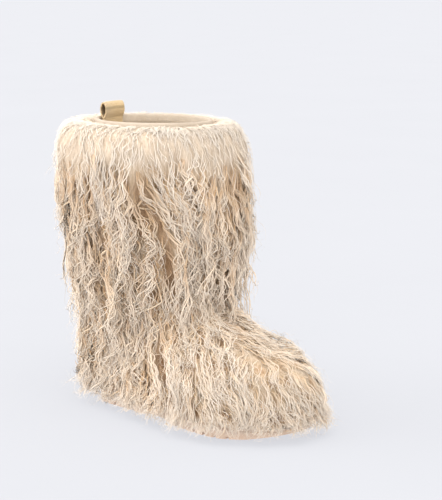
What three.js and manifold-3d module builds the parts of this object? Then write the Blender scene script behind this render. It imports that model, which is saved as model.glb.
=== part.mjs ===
// A right-foot winter boot of long curly sheepskin, pulled on without a fastening.
// +X runs to the toe, +Y to the inner (medial) side and +Z up, in millimetres.
// The origin lies on the floor under the middle of the heel.
// Upper, fur and insole all come from one table of sections through the last.
import * as THREE from "three";
import { mergeVertices } from "three/addons/utils/BufferGeometryUtils.js";
import Module from "manifold-3d";

const wasm = await Module();
wasm.setup();

// Driving sizes of the last and the shaft, outside the hide.
const footLength = 246;
const ballWidth = 92;
const heelWidth = 68;
const heelCentreToBack = 34;
const instepHeight = 91;
const throatHeight = 146;
const bootHeight = 286;
const ankleDepth = 122;
const ankleWidth = 76;
const collarDepth = 124;
const collarWidth = 103;
const counterBulge = 3.5;
const toeTurn = 6;

// Hide, lining and the pieces sewn to them.
const wall = 3;
const gap = 0.35;
const bindingThickness = 1.2;
const bindingClear = 0.6;
const bindingDrop = 6;
const insoleThickness = 5;

// The sole.
const soleLedge = 4;
const heelHeight = 26;
const forefootHeight = 17;
const toeSpring = 8;
const archLift = 3;
const treadDepth = 3;
const treadWidth = 3.4;
const treadPitch = 13;
const sideGrooveHeight = 1.8;
const sideGrooveDepth = 1.3;

// The fleece, measured from the hide.
const furDepth = 44;
const furToe = 16;
const furHem = 9;
const furUnder = 30;
const clumpDepth = 7;
const clumpsAround = 12;
const lockLength = 74;
const lockWidth = 34;
const lockThickness = 16;
const lockLift = 5;
const lockWave = 4;
const hemLockLength = 42;
const hemLockWidth = 24;
const lockFloor = 2;

// The pull loop, a folded tape sewn inside the back of the collar, to the outer side.
const tapeWidth = 31;
const tapeThickness = 1.5;
const loopHalfDepth = 4.8;
const loopHalfHeight = 8;
const loopHeight = 18;
const loopPinch = 3;
const loopTail = 16;
const loopAside = 9;
const loopClear = 0.8;

// How finely the solids are faceted.
const aroundHide = 28;
const aroundFur = 48;
const alongFur = 22;

const heelBack = -heelCentreToBack;
const toeTip = heelBack + footLength;
const ballShare = 0.7;

// The footprint of the last: half widths as shares of the ball width.
const footprint = [
  { along: 0.0, lateral: 0.36, medial: 0.36 },
  { along: 0.25, lateral: 0.375, medial: 0.36 },
  { along: 0.42, lateral: 0.41, medial: 0.33 },
  { along: 0.58, lateral: 0.49, medial: 0.4 },
  { along: ballShare, lateral: 0.525, medial: 0.475 },
  { along: 0.82, lateral: 0.5, medial: 0.5 },
  { along: 1.0, lateral: 0.46, medial: 0.5 },
];
const heelRound = { share: 0.14, power: 2.1 };
const toeRound = { share: 0.26, power: 2.2 };

// Sections across the foot: where each stands along the last, its top as a share of the
// instep height, its roundness, and the fleece over it as shares of the fleece's depth.
// nose says how far a section follows the toe as a layer grows, edge how its side does.
const footSections = [
  { along: 1.0, top: 0.33, square: 2.0, nose: 1.0, edge: 0.04, furSide: 0.02, furTop: 0.05 },
  { along: 0.985, top: 0.47, square: 2.1, nose: 0.95, edge: 0.3, furSide: 0.08, furTop: 0.13 },
  { along: 0.95, top: 0.6, square: 2.2, nose: 0.82, edge: 0.62, furSide: 0.22, furTop: 0.21 },
  { along: 0.89, top: 0.695, square: 2.25, nose: 0.55, edge: 0.85, furSide: 0.33, furTop: 0.26 },
  { along: 0.81, top: 0.76, square: 2.2, nose: 0.28, edge: 1.0, furSide: 0.45, furTop: 0.3 },
  { along: 0.7, top: 0.84, square: 2.1, nose: 0.08, edge: 1.0, furSide: 0.54, furTop: 0.32 },
  { along: 0.58, top: 1.0, square: 2.0, nose: 0.0, edge: 1.0, furSide: 0.58, furTop: 0.38 },
];

// Slanting sections that turn from the foot into the shaft, like the leaves of a fan.
// under is the foot's length at the section's lower end and back its bulge behind the heel;
// sink is that end's height in heel heights, or rise its share of the throat's height.
// reach and climb place its upper end between the throat and the first section of the foot.
const turnSections = [
  { under: 0.44, sink: -0.2, reach: 0.62, climb: 0.13, width: 1.0, widest: 0.33, square: 2.0,
    furSide: 0.58, furTop: 0.46, furBack: 0.18 },
  { under: 0.31, sink: -0.3, reach: 0.34, climb: 0.27, width: 0.97, widest: 0.36, square: 2.0,
    furSide: 0.56, furTop: 0.63, furBack: 0.16 },
  { under: 0.175, sink: -0.3, reach: 0.17, climb: 0.41, width: 0.94, widest: 0.38, square: 2.1,
    furSide: 0.54, furTop: 0.82, furBack: 0.18 },
  { under: 0.055, sink: -0.08, reach: 0.07, climb: 0.56, width: 0.94, widest: 0.36, square: 2.2,
    furSide: 0.44, furTop: 1.02, furBack: 0.1 },
  { back: -0.3, rise: 0.12, reach: 0.02, climb: 0.7, width: 0.96, widest: 0.33, square: 2.2,
    furSide: 0.46, furTop: 1.12, furBack: 0.14 },
  { back: 0.85, rise: 0.29, reach: 0.0, climb: 0.85, width: 0.98, widest: 0.33, square: 2.2,
    furSide: 0.64, furTop: 1.18, furBack: 0.38 },
  { back: 1.0, rise: 0.46, reach: 0.0, climb: 1.0, width: 1.0, widest: 0.36, square: 2.2,
    furSide: 0.68, furTop: 1.2, furBack: 0.44 },
];

// Level sections up the shaft: up is the share of the way from the throat to the collar at
// the front, backUp the same at the back, and calf the blend from ankle size to collar size.
const shaftSections = [
  { up: 0.08, backUp: -0.36, calf: 0.1, widest: 0.4, furSide: 0.74, furTop: 1.18, furBack: 0.5 },
  { up: 0.18, backUp: -0.14, calf: 0.28, widest: 0.43, furSide: 0.77, furTop: 1.12, furBack: 0.54 },
  { up: 0.31, backUp: 0.1, calf: 0.46, widest: 0.45, furSide: 0.83, furTop: 1.04, furBack: 0.66 },
  { up: 0.46, backUp: 0.33, calf: 0.64, widest: 0.46, furSide: 0.95, furTop: 0.98, furBack: 0.88 },
  { up: 0.64, backUp: 0.57, calf: 0.8, widest: 0.47, furSide: 1.0, furTop: 0.93, furBack: 1.0 },
  { up: 0.83, backUp: 0.8, calf: 0.92, widest: 0.475, furSide: 0.95, furTop: 0.76, furBack: 1.03 },
  { up: 1.0, backUp: 1.0, calf: 1.0, widest: 0.48, furSide: 0.85, furTop: 0.64, furBack: 0.98 },
];
const shaftSquare = 2.1;
const aboveCollar = 0.2;

// The fleece's rounded shoulder beside the collar: depth below the collar, and fleece depth
// at the sides, the front and the back.
const shoulder = [
  { drop: 14, furSide: 0.86, furTop: 0.68, furBack: 0.98 },
  { drop: 5, furSide: 0.74, furTop: 0.54, furBack: 0.9 },
  { drop: 1.5, furSide: 0.54, furTop: 0.4, furBack: 0.66 },
  { drop: 1, furSide: 0.3, furTop: 0.24, furBack: 0.32 },
];

const mix = (a, b, t) => a + (b - a) * t;
const clamp = (x, low, high) => Math.min(high, Math.max(low, x));

// A smooth curve through the rows of a table, column by column.
function rowAt(rows, place) {
  const i = clamp(Math.floor(place), 0, rows.length - 2);
  const t = place - i;
  const four = [i - 1, i, i + 1, i + 2].map((k) => rows[clamp(k, 0, rows.length - 1)]);
  const made = {};
  for (const key of Object.keys(rows[i])) {
    const [a, b, c, d] = four.map((row) => row[key]);
    made[key] = 0.5 * (2 * b + (c - a) * t + (2 * a - 5 * b + 4 * c - d) * t * t
      + (3 * b - a - 3 * c + d) * t * t * t);
  }
  return made;
}

function tableAt(rows, column, value) {
  let i = 0;
  while (i < rows.length - 2 && rows[i + 1][column] < value) i += 1;
  const span = rows[i + 1][column] - rows[i][column];
  return rowAt(rows, i + (value - rows[i][column]) / span);
}

// Half widths of the footprint at a share of its length, and its bent middle line.
function outlineAt(share, grow = 0) {
  const row = tableAt(footprint, "along", share);
  const heel = clamp((heelRound.share - share) / heelRound.share, 0, 1);
  const toe = clamp((share - 1 + toeRound.share) / toeRound.share, 0, 1);
  const round = (1 - heel ** heelRound.power) ** (1 / heelRound.power)
    * (1 - toe ** toeRound.power) ** (1 / toeRound.power);
  const heelBlend = clamp(1 - share / 0.42, 0, 1);
  const heelScale = mix(1, heelWidth / (0.72 * ballWidth), heelBlend);
  return {
    lateral: (row.lateral * ballWidth * heelScale + grow) * round,
    medial: (row.medial * ballWidth * heelScale + grow) * round,
    middle: toeTurn * Math.max(0, share - 0.5) ** 2 * 4,
  };
}

// The top face of the sole along the boot, with its heel seat, waist and toe spring.
const soleTop = [
  { along: 0.0, height: heelHeight },
  { along: 0.28, height: heelHeight - 1 },
  { along: 0.42, height: mix(heelHeight, forefootHeight, 0.5) },
  { along: 0.58, height: forefootHeight + 0.5 },
  { along: 0.72, height: forefootHeight },
  { along: 0.88, height: forefootHeight + 0.35 * toeSpring },
  { along: 1.0, height: forefootHeight + toeSpring },
];
const soleTopAt = (share) => tableAt(soleTop, "along", clamp(share, 0, 1)).height;

// Every section of the last as one list of plain rows. Each lies in an upright plane's cut
// from a lower or back end to an upper or front end, with its half widths between.
const bulgeAboveSole = 10;
const bulgeDrop = 30;
const featherShare = 0.965;

function footRow(s) {
  const outline = outlineAt(Math.min(s.along, 0.999));
  const lowZ = soleTopAt(s.along) + bulgeAboveSole - bulgeDrop;
  const topZ = s.top * instepHeight;
  const x = heelBack + s.along * footLength;
  return {
    backX: x, backZ: lowZ, frontX: x, frontZ: topZ,
    lateral: Math.max(outline.lateral / featherShare, 1.5),
    medial: Math.max(outline.medial / featherShare, 1.5),
    middle: outline.middle,
    widest: clamp(bulgeDrop / (topZ - lowZ), 0.3, 0.78),
    square: s.square,
    nose: s.nose, edge: s.edge, furSide: s.furSide, furTop: s.furTop, furBack: furUnder / furDepth,
  };
}

const throatX = heelBack + ankleDepth;
const lastFoot = footRow(footSections[footSections.length - 1]);

function turnRow(s) {
  const behind = s.under === undefined;
  const underX = behind ? heelBack - s.back * counterBulge : heelBack + s.under * footLength;
  const underZ = behind ? s.rise * throatHeight : s.sink * heelHeight;
  const blend = clamp(s.climb * 1.6, 0, 1);
  return {
    backX: underX, backZ: underZ,
    frontX: mix(throatX, lastFoot.frontX, s.reach), frontZ: mix(lastFoot.frontZ, throatHeight, s.climb),
    lateral: mix(lastFoot.lateral * 0.94, ankleWidth / 2, blend) * s.width,
    medial: mix(lastFoot.medial * 0.97, ankleWidth / 2, blend) * s.width,
    middle: mix(lastFoot.middle, 0, blend), widest: s.widest, square: s.square,
    nose: 0, edge: 1, furSide: s.furSide, furTop: s.furTop, furBack: s.furBack,
  };
}

function shaftRow(s) {
  const depth = mix(ankleDepth, collarDepth, s.calf);
  const half = mix(ankleWidth, collarWidth, s.calf) / 2;
  const backX = heelBack - counterBulge * mix(0.4, 0.9, s.calf);
  return {
    backX, backZ: mix(throatHeight, bootHeight, s.backUp),
    frontX: backX + depth, frontZ: mix(throatHeight, bootHeight, s.up),
    lateral: half, medial: half, middle: 0, widest: s.widest, square: shaftSquare,
    nose: 0, edge: 1, furSide: s.furSide, furTop: s.furTop, furBack: s.furBack,
  };
}

const collarSection = shaftSections[shaftSections.length - 1];
const collarRow = shaftRow(collarSection);
const topRow = shaftRow({ ...collarSection, up: 1 + aboveCollar, backUp: 1 + aboveCollar });
const lastRows = [
  ...footSections.map(footRow),
  ...turnSections.map(turnRow),
  ...shaftSections.map(shaftRow),
];
const hideRows = [...lastRows, topRow];

const thinnest = 0.4;

// One closed ring of a section, at an angle from its upper or front end towards the medial
// side. grow moves the layer out from the hide: toe, side, front and back each by its own.
function ringPoint(row, angle, grow) {
  const back = new THREE.Vector3(row.backX + row.nose * grow.toe, row.middle, row.backZ);
  const front = new THREE.Vector3(row.frontX + row.nose * grow.toe, row.middle, row.frontZ);
  const along = front.clone().sub(back);
  const length = along.length();
  along.divideScalar(length);
  const up = Math.cos(angle);
  const across = Math.sin(angle);
  const power = 2 / row.square;
  const reach = up >= 0 ? (1 - row.widest) * length + grow.front : row.widest * length + grow.back;
  const half = (across >= 0 ? row.medial : row.lateral) + grow.side;
  const rise = Math.sign(up) * Math.max(reach, thinnest) * Math.abs(up) ** power;
  const aside = Math.sign(across) * Math.max(half, thinnest) * Math.abs(across) ** power;
  return back.addScaledVector(along, row.widest * length + rise).add(new THREE.Vector3(0, aside, 0));
}

const evenGrow = (row, amount) => ({
  toe: amount, side: amount * row.edge, front: amount * Math.max(row.edge, 0.5), back: amount,
});

// Solids from rings, extrusions and their cuts.
function solidOf(geometry) {
  geometry.deleteAttribute("normal");
  geometry.deleteAttribute("uv");
  const merged = mergeVertices(geometry, 1e-4);
  return new wasm.Manifold(new wasm.Mesh({
    numProp: 3,
    vertProperties: new Float32Array(merged.attributes.position.array),
    triVerts: new Uint32Array(merged.index.array),
  }));
}

// Rings joined in order, with a flat fan over each end, or in a closed circle.
function ringsSolid(rings, closed = false) {
  const count = rings[0].length;
  const positions = rings.flat().flatMap((p) => [p.x, p.y, p.z]);
  const index = [];
  const last = closed ? rings.length : rings.length - 1;
  for (let i = 0; i < last; i += 1) {
    for (let k = 0; k < count; k += 1) {
      const a = i * count + k;
      const b = i * count + ((k + 1) % count);
      const c = ((i + 1) % rings.length) * count + k;
      const d = ((i + 1) % rings.length) * count + ((k + 1) % count);
      index.push(a, b, d, a, d, c);
    }
  }
  if (!closed) {
    for (const [ring, turned] of [[0, true], [rings.length - 1, false]]) {
      const centre = rings[ring].reduce((sum, p) => sum.add(p), new THREE.Vector3()).divideScalar(count);
      const c = positions.length / 3;
      positions.push(centre.x, centre.y, centre.z);
      for (let k = 0; k < count; k += 1) {
        const a = ring * count + k;
        const b = ring * count + ((k + 1) % count);
        index.push(...(turned ? [c, b, a] : [c, a, b]));
      }
    }
  }
  const geometry = new THREE.BufferGeometry();
  geometry.setAttribute("position", new THREE.Float32BufferAttribute(positions, 3));
  geometry.setIndex(index);
  const made = solidOf(geometry);
  if (made.volume() >= 0) return made;
  geometry.setIndex(index.map((_, i) => index[i - (i % 3) + 2 - (i % 3)]));
  return solidOf(geometry);
}

function extruded(points, depth, place = new THREE.Matrix4(), steps = 1) {
  const geometry = new THREE.ExtrudeGeometry(new THREE.Shape(points), { depth, steps, bevelEnabled: false });
  return solidOf(geometry.applyMatrix4(place));
}

const angles = (count) => Array.from({ length: count }, (_, k) => (2 * Math.PI * k) / count);
const highAbove = 1.4 * bootHeight;
const farAside = 300;

// The last grown or shrunk by an amount: the outside or inside of the hide.
function lastSolid(amount) {
  return ringsSolid(hideRows.map((row) =>
    angles(aroundHide).map((angle) => ringPoint(row, angle, evenGrow(row, amount)))));
}

// The band between two heights above the sole's top face, as wide as the boot.
function bandAboveSole(low, high) {
  const shares = [-0.3, 0, 0.14, 0.28, 0.35, 0.42, 0.5, 0.58, 0.72, 0.8, 0.88, 0.94, 1, 1.3];
  const at = (share, lift) => new THREE.Vector2(heelBack + share * footLength, soleTopAt(share) + lift);
  const points = [
    ...shares.map((share) => at(share, low)),
    ...shares.reverse().map((share) => at(share, high)),
  ];
  const upright = new THREE.Matrix4().makeRotationX(Math.PI / 2).setPosition(0, farAside, 0);
  return extruded(points, 2 * farAside, upright);
}

// The footprint as a closed outline, grown by an amount, from the heel round to the toe.
function footprintPoints(grow) {
  const stops = 22;
  const shares = Array.from({ length: stops + 1 }, (_, i) => 0.5 - 0.5 * Math.cos((Math.PI * i) / stops));
  const at = (share, side) => {
    const outline = outlineAt(clamp(share, 0, 1), grow);
    const x = mix(heelBack - grow, toeTip + grow, share);
    return new THREE.Vector2(x, outline.middle + side * (side > 0 ? outline.medial : outline.lateral));
  };
  return [
    ...shares.map((share) => at(share, -1)),
    ...shares.slice(1, -1).reverse().map((share) => at(share, 1)),
  ];
}

const prism = (points, low, high) =>
  extruded(points, high - low, new THREE.Matrix4().makeTranslation(0, 0, low));

// Pieces of the boot.
function makeOutsole() {
  const blank = prism(footprintPoints(soleLedge), -1, 60);
  const low = heelBack - soleLedge;
  const high = toeTip + soleLedge;
  const at = (share, z) => new THREE.Vector2(mix(low, high, share), z);
  const underside = [
    at(-0.05, 6), at(0, 3), at(0.05, 0), at(0.32, 0), at(0.38, archLift), at(0.47, archLift),
    at(0.53, 0), at(0.79, 0), at(0.88, 0.25 * toeSpring), at(0.95, 0.62 * toeSpring),
    at(1.05, 1.2 * toeSpring),
  ];
  const upright = new THREE.Matrix4().makeRotationX(Math.PI / 2).setPosition(0, farAside, 0);
  const above = [...underside, at(1.05, 60), at(-0.05, 60)];
  let sole = blank.intersect(extruded(above, 2 * farAside, upright)).subtract(bandAboveSole(0, highAbove));
  // Straight tread grooves, left out round the origin and under the waist.
  for (const [from, to] of [[0.12, 0.32], [0.56, 0.84]]) {
    for (let x = mix(low, high, from); x < mix(low, high, to); x += treadPitch) {
      const groove = [
        new THREE.Vector2(x - treadWidth / 2, -5), new THREE.Vector2(x + treadWidth / 2, -5),
        new THREE.Vector2(x + treadWidth / 2, treadDepth), new THREE.Vector2(x - treadWidth / 2, treadDepth),
      ];
      if (Math.abs(x) > treadWidth) sole = sole.subtract(extruded(groove, 2 * farAside, upright));
    }
  }
  const grooveLow = forefootHeight * 0.55;
  const ring = prism(footprintPoints(soleLedge + 10), grooveLow, grooveLow + sideGrooveHeight)
    .subtract(prism(footprintPoints(soleLedge - sideGrooveDepth), 0, 60));
  return sole.subtract(ring);
}

function makeUpper() {
  return lastSolid(0)
    .subtract(lastSolid(-wall))
    .subtract(bandAboveSole(-highAbove, gap))
    .subtract(prism(footprintPoints(farAside), bootHeight, highAbove));
}

function makeInsole() {
  return lastSolid(-wall - gap).intersect(bandAboveSole(gap, gap + insoleThickness));
}

// The collar's edge at an angle, moved out from the hide by an amount.
const collarPoint = (angle, out) => ringPoint(collarRow, angle, evenGrow(collarRow, out));

// A rolled strip that straddles the cut edge of the collar.
function makeBinding() {
  const half = wall / 2 + bindingClear + bindingThickness;
  const crown = 4;
  const section = [
    [-wall - bindingClear, -bindingDrop - 2], [-wall - bindingClear, gap], [bindingClear, gap],
    [bindingClear, -bindingDrop], [bindingClear + bindingThickness, -bindingDrop],
  ];
  for (let i = 0; i <= crown; i += 1) {
    const turn = (Math.PI * i) / crown;
    section.push([-wall / 2 + half * Math.cos(turn), 2 * gap + half * Math.sin(turn) * 0.75]);
  }
  section.push([-wall - bindingClear - bindingThickness, -bindingDrop - 2]);
  return ringsSolid(angles(aroundHide).map((angle) =>
    section.map(([out, up]) => collarPoint(angle, out).setZ(bootHeight + up))), true);
}

// Rows of the fleece: the sections of the last, then the shoulder beside the collar.
const belowShoulder = lastRows.slice(0, -1);
const furRows = [
  ...belowShoulder,
  ...shoulder.map(({ drop, ...fur }) => ({
    ...collarRow,
    ...fur,
    backZ: bootHeight - drop,
    frontZ: bootHeight - drop,
  })),
];

// Clumps of curls: ridges that run down the fleece, wander, and step back in tiers.
function clump(turn, place) {
  const drift = 0.3 * Math.sin(place * 1.9) + 0.22 * Math.sin(place * 0.83 + 9 * turn);
  const ridge = Math.cos(2 * Math.PI * (clumpsAround * turn + drift));
  const lane = Math.floor(clumpsAround * turn + drift + 0.5);
  const tier = (place * 0.42 + 0.37 * lane) % 1;
  return clumpDepth * (0.5 * ridge - 0.55 * (tier < 0 ? tier + 1 : tier));
}

function furPoint(turn, place, relief = 1) {
  const row = rowAt(furRows, place);
  const fade = relief * clamp(Math.min(row.furSide, row.furTop + row.furBack) * 2.2, 0, 1);
  const lump = clump(turn, place) * fade;
  return ringPoint(row, 2 * Math.PI * turn, {
    toe: furToe,
    side: row.furSide * furDepth + lump,
    front: row.furTop * furDepth + lump,
    back: row.furBack * furDepth + lump,
  });
}

const furEnd = furRows.length - 1;
const floorward = new THREE.Vector3(0, 0, -1);

// One step along the fleece the way its hair lies: down, and forward over the foot.
function combed(turn, place, length) {
  const nudge = 0.02;
  const point = furPoint(turn, place, 0);
  const slope = (dTurn, dPlace) => furPoint(turn + dTurn, place + dPlace, 0)
    .sub(furPoint(turn - dTurn, place - dPlace, 0))
    .divideScalar(2 * nudge);
  const around = slope(nudge, 0);
  const along = slope(0, nudge);
  const forward = clamp((throatHeight - point.z) / (throatHeight / 2), 0, 1);
  const way = new THREE.Vector3(0.7 * forward * clamp(point.x / throatX, 0, 1), 0, -1);
  const mixed = around.dot(along);
  const det = around.lengthSq() * along.lengthSq() - mixed * mixed;
  const turnRate = (around.dot(way) * along.lengthSq() - along.dot(way) * mixed) / det;
  const placeRate = (along.dot(way) * around.lengthSq() - around.dot(way) * mixed) / det;
  const flow = around.clone().multiplyScalar(turnRate).addScaledVector(along, placeRate);
  const scale = length / Math.max(flow.length(), 1e-3);
  const out = around.cross(along).normalize();
  const inward = ringPoint(rowAt(furRows, place), 2 * Math.PI * turn, { toe: 0, side: 0, front: 0, back: 0 });
  if (out.dot(point.clone().sub(inward)) < 0) out.negate();
  flow.normalize();
  return { point, out, flow, turn: turn + turnRate * scale, place: place + placeRate * scale };
}

// The turn at which the fleece of a section comes down to a height.
function turnAtHeight(place, height) {
  const nudge = 0.01;
  let turn = 0;
  while (turn < 0.5 && furPoint(turn, place, 0).z > height) turn += nudge;
  return turn;
}

// One lock: a tapering, waving strip that lies along the fleece and lifts towards its tip.
// Past the fleece's hem it hangs free, and its tip lies just above the floor.
function makeLock(turn, place, length, width, wave) {
  const steps = 4;
  const sides = 3;
  const rings = [];
  let at = combed(turn, place, length / steps);
  const centre = at.point.clone();
  for (let i = 0; i <= steps; i += 1) {
    const t = i / steps;
    const taper = Math.cos(0.5 * Math.PI * Math.max(0, t - 0.1)) ** 0.8;
    const side = at.out.clone().cross(at.flow).normalize();
    const ringCentre = centre.clone()
      .addScaledVector(at.out, mix(-lockLift, lockLift, Math.sin(0.5 * Math.PI * t)))
      .addScaledVector(side, wave * Math.sin(2 * Math.PI * t));
    ringCentre.z = Math.max(ringCentre.z, lockFloor + (lockThickness / 2) * taper);
    rings.push(angles(sides).map((a) => ringCentre.clone()
      .addScaledVector(side, (width / 2) * taper * Math.sin(a))
      .addScaledVector(at.out, (lockThickness / 2) * taper * Math.cos(a))));
    const next = combed(at.turn, clamp(at.place, 0.3, furEnd - 0.1), length / steps);
    const turnsUnder = next.out.z < -0.3 && next.point.z < 1.6 * heelHeight;
    if (next.point.z > 2 * furHem && !turnsUnder && at.flow !== floorward) {
      at = next;
      centre.copy(next.point);
    } else {
      at = { ...at, out: at.out.clone().setZ(0).normalize(), flow: floorward };
      centre.addScaledVector(floorward, length / steps).addScaledVector(at.out, 0.06 * length / steps);
    }
  }
  return ringsSolid(rings);
}

// Tiers of locks: where each tier hangs along the fleece, how many locks it has on each side,
// and the turns of the first and the last of them, from the front round towards the back.
const lockTiers = [
  { place: furEnd - 4.4, eachSide: 4, first: 0.04, last: 0.45 },
  { place: furEnd - 6.4, eachSide: 4, first: 0.09, last: 0.49 },
  { place: furEnd - 9.2, eachSide: 4, first: 0.04, last: 0.44 },
  { place: furEnd - 12.2, eachSide: 3, first: 0.06, last: 0.38 },
  { place: 8.2, eachSide: 2, first: 0.05, last: 0.17 },
  { place: 5.4, eachSide: 2, first: 0.07, last: 0.17 },
];
const hemLocks = { eachSide: 8, first: 0.8, last: 11.6, height: 34 };

function makeFur() {
  const rings = Array.from({ length: alongFur + 1 }, (_, i) => {
    const place = (furEnd * i) / alongFur;
    return angles(aroundFur).map((angle) => furPoint(angle / (2 * Math.PI), place));
  });
  let fur = ringsSolid(rings).subtract(prism(footprintPoints(farAside), -highAbove, furHem));
  lockTiers.forEach((tier, row) => {
    for (const side of [-1, 1]) {
      for (let i = 0; i < tier.eachSide; i += 1) {
        const swing = Math.sin(7.3 * i + 2.1 * row + side);
        fur = fur.add(makeLock(
          side * mix(tier.first, tier.last, i / (tier.eachSide - 1)) + 0.01 * swing,
          tier.place + 0.4 * swing,
          lockLength * (0.9 + 0.2 * swing),
          lockWidth * (1 - 0.15 * swing),
          lockWave * Math.sign(swing),
        ));
      }
    }
  });
  for (const side of [-1, 1]) {
    for (let i = 0; i < hemLocks.eachSide; i += 1) {
      const place = mix(hemLocks.first, hemLocks.last, i / (hemLocks.eachSide - 1));
      const swing = Math.sin(5.7 * i + 2 * side);
      const turn = side * turnAtHeight(place, hemLocks.height);
      const length = hemLockLength * (1 + 0.15 * swing);
      fur = fur.add(makeLock(turn, place, length, hemLockWidth, lockWave * swing));
    }
  }
  const collarOut = angles(aroundHide).map((angle) => {
    const clear = collarPoint(angle, bindingClear + bindingThickness + gap);
    return new THREE.Vector2(clear.x, clear.y);
  });
  const shell = fur
    .subtract(lastSolid(gap))
    .subtract(prism(footprintPoints(soleLedge + 1.5), -highAbove, heelHeight + 1))
    .subtract(prism(collarOut, bootHeight - bindingDrop - 2 * gap, highAbove));
  // Crossing locks can close off a crumb or a tiny pocket, which is left out.
  return shell.decompose().reduce((largest, body) => (body.volume() > largest.volume() ? body : largest));
}

// A tape folded into an eye above the collar, its two ends together down the inside.
function makePullLoop() {
  const inset = wall + bindingClear + bindingThickness + loopClear;
  const inside = collarRow.backX + inset;
  const stem = 2 * tapeThickness;
  const eyeX = inside + stem / 2;
  const eyeZ = bootHeight + loopHeight - loopHalfHeight;
  const foot = bootHeight + loopPinch;
  const eye = (within) => {
    const stops = 12;
    return Array.from({ length: stops + 1 }, (_, i) => {
      const turn = mix(-0.2 * Math.PI, 1.2 * Math.PI, i / stops);
      return new THREE.Vector2(
        eyeX + (loopHalfDepth - within) * Math.cos(turn),
        eyeZ + (loopHalfHeight - within) * Math.sin(turn),
      );
    });
  };
  const outside = [
    ...eye(0),
    new THREE.Vector2(inside, foot - tapeThickness),
    new THREE.Vector2(inside, bootHeight - loopTail),
    new THREE.Vector2(inside + stem, bootHeight - loopTail),
    new THREE.Vector2(inside + stem, foot - tapeThickness),
  ];
  const hole = [...eye(tapeThickness), new THREE.Vector2(eyeX, foot)];
  const shape = new THREE.Shape(outside);
  shape.holes.push(new THREE.Path(hole));
  const steps = 6;
  const geometry = new THREE.ExtrudeGeometry(shape, { depth: tapeWidth, steps, bevelEnabled: false });
  geometry.applyMatrix4(new THREE.Matrix4().makeRotationX(Math.PI / 2).setPosition(0, tapeWidth / 2 - loopAside, 0));
  // The tape bows with the inside of the collar.
  const depth = collarRow.widest * collarDepth - inset;
  const half = collarWidth / 2 - inset;
  const places = geometry.attributes.position;
  for (let i = 0; i < places.count; i += 1) {
    const aside = clamp(Math.abs(places.getY(i)) / half, 0, 1);
    const bow = depth * (1 - (1 - aside ** shaftSquare) ** (1 / shaftSquare));
    places.setX(i, places.getX(i) + bow);
  }
  return solidOf(geometry);
}

function meshOf(name, solid, color, roughness) {
  const made = solid.getMesh();
  const geometry = new THREE.BufferGeometry();
  geometry.setAttribute("position", new THREE.BufferAttribute(made.vertProperties, made.numProp));
  geometry.setIndex(new THREE.BufferAttribute(made.triVerts, 1));
  const mesh = new THREE.Mesh(geometry, new THREE.MeshStandardMaterial({ color, roughness, metalness: 0 }));
  mesh.name = name;
  return mesh;
}

const boot = new THREE.Group();
boot.add(
  meshOf("outsole", makeOutsole(), 0xcdb79f, 0.85),
  meshOf("insole", makeInsole(), 0xe9dcc6, 0.95),
  meshOf("upper", makeUpper(), 0xe6d9c3, 0.9),
  meshOf("collar_binding", makeBinding(), 0xf1e6d6, 0.85),
  meshOf("pull_loop", makePullLoop(), 0xc3b187, 0.9),
  meshOf("fur", makeFur(), 0xe3d3bb, 1.0),
);

export default boot;
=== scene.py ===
"""Visual model of a right pull-on boot of long curly sheepskin.

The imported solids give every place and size. This script adds the looks: a soft undercoat in the space of the
fleece solid, wavy locks of hair marched down over it, a rolled collar edge, woven tape and the studio.
Lengths are in metres, unless a name ends in _mm or a table says millimetres.
"""

import math

import bpy
import numpy as np
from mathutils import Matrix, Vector, noise
from mathutils.bvhtree import BVHTree


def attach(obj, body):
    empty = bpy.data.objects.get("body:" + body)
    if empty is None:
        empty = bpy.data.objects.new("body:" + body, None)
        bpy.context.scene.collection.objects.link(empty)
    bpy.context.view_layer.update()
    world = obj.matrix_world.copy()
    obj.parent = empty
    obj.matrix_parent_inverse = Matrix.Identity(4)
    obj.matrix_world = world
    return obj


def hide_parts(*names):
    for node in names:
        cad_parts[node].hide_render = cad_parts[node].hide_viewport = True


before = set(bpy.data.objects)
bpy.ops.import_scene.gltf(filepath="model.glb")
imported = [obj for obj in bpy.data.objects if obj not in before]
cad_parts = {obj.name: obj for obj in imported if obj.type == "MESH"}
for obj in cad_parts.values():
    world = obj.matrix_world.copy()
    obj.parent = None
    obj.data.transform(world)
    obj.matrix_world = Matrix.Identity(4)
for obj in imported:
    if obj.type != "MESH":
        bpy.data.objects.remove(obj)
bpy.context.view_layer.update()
MM = 0.001
rng = np.random.default_rng(31)

# Camera and frame of the photograph.
IMAGE_WIDTH = 442
IMAGE_HEIGHT = 500
FOCAL_PIXELS = 1546.65
SENSOR_MM = 36
CAMERA_AZIMUTH = math.radians(44)
CAMERA_PITCH = math.radians(9.99)
CAMERA_DISTANCE = 1.570
TARGET_RIGHT = 0.08421
TARGET_HEIGHT = 0.15395

CAMERA_RIGHT = Vector((math.cos(CAMERA_AZIMUTH), math.sin(CAMERA_AZIMUTH), 0))
CAMERA_AWAY = Vector((-math.sin(CAMERA_AZIMUTH), math.cos(CAMERA_AZIMUTH), 0))

# The fleece's skin, on which the hair lies.
VOXEL = 4.0 * MM
SKIN_SMOOTHING = 24
SHAFT_MIDDLE = Vector((0.026, 0, 0))
SHOULDER_HEIGHT = 0.258
RIM_HEIGHT = 0.284
COLLAR_WOOL = 2.6 * MM
DEEP_FLEECE = 26 * MM
HEM_HEIGHT = 16 * MM
HEM_BAND = 12 * MM
HEM_DEPTH = 17 * MM
FLOOR_CLEAR = 1.2 * MM

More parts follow.
